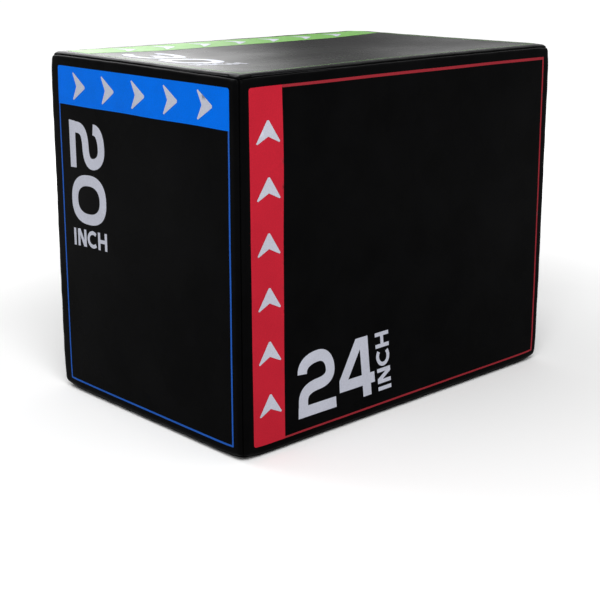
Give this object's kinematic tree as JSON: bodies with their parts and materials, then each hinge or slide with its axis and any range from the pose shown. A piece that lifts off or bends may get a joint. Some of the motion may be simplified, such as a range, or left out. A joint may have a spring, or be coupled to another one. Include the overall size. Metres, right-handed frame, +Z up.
{
  "type": "soft plyo box",
  "caption": "Soft foam jump box in a sewn vinyl cover with coloured height marks; turns onto any side to give another height, and a zipped back door lets the foam out.",
  "frame": {"origin": "middle of the bottom face, on the floor", "axes": "+X along the long side, to the right as seen from the front; +Y from the front, with the red band, to the zipped back; +Z up"},
  "size_m": [0.762, 0.5152, 0.6096],
  "materials": {
    "cover_vinyl": "semi-gloss black coated vinyl with a fine grain",
    "core_foam": "closed-cell polyethylene foam planks",
    "pad_foam": "softer foam sheet",
    "binding_tape": "woven binding tape",
    "zip_tape": "woven zip tape",
    "zip_teeth": "moulded zip coil",
    "zip_metal": "dark enamelled die-cast metal",
    "print_blue": "blue printed ink",
    "print_red": "red printed ink",
    "print_green": "green printed ink",
    "print_white": "white printed ink"
  },
  "bodies": {
    "box": {"core_plank_1": "core_foam", "core_plank_2": "core_foam", "core_plank_3": "core_foam", "core_plank_4": "core_foam", "core_plank_5": "core_foam", "core_plank_6": "core_foam", "core_plank_7": "core_foam", "core_plank_8": "core_foam", "core_plank_9": "core_foam", "cover_back_frame": "cover_vinyl", "cover_bottom_panel": "cover_vinyl", "cover_front_panel": "cover_vinyl", "cover_left_panel": "cover_vinyl", "cover_right_panel": "cover_vinyl", "cover_top_panel": "cover_vinyl", "foam_pad_back": "pad_foam", "foam_pad_bottom": "pad_foam", "foam_pad_front": "pad_foam", "foam_pad_left": "pad_foam", "foam_pad_right": "pad_foam", "foam_pad_top": "pad_foam", "seam_binding_bottom_edges": "binding_tape", "seam_binding_top_edges": "binding_tape", "seam_binding_upright_edges": "binding_tape", "zip_closed_end_stops": "zip_metal", "zip_open_end_stop": "zip_metal", "zip_outer_chain": "zip_teeth", "zip_outer_tape": "zip_tape", "zip_sill_chains": "zip_teeth", "zip_sill_tapes": "zip_tape"},
    "door": {"cover_back_door": "cover_vinyl", "zip_door_chain": "zip_teeth", "zip_door_tape": "zip_tape"},
    "slider": {"zip_slider": "zip_metal"},
    "pull": {"zip_pull": "zip_metal"}
  },
  "joints": [
    {"name": "door_fold", "type": "hinge", "parent": "box", "child": "door", "pos_m": [0, 0.2557, 0.085], "axis": [-1, 0, 0], "range_deg": [0, 95]},
    {"name": "zip_slide", "type": "slide", "parent": "box", "child": "slider", "axis": [0, 0, 1], "range_m": [0, 0.49]},
    {"name": "pull_swing", "type": "hinge", "parent": "slider", "child": "pull", "pos_m": [0.351, 0.25855, 0.042], "axis": [1, 0, 0], "range_deg": [0, 170]}
  ]
}
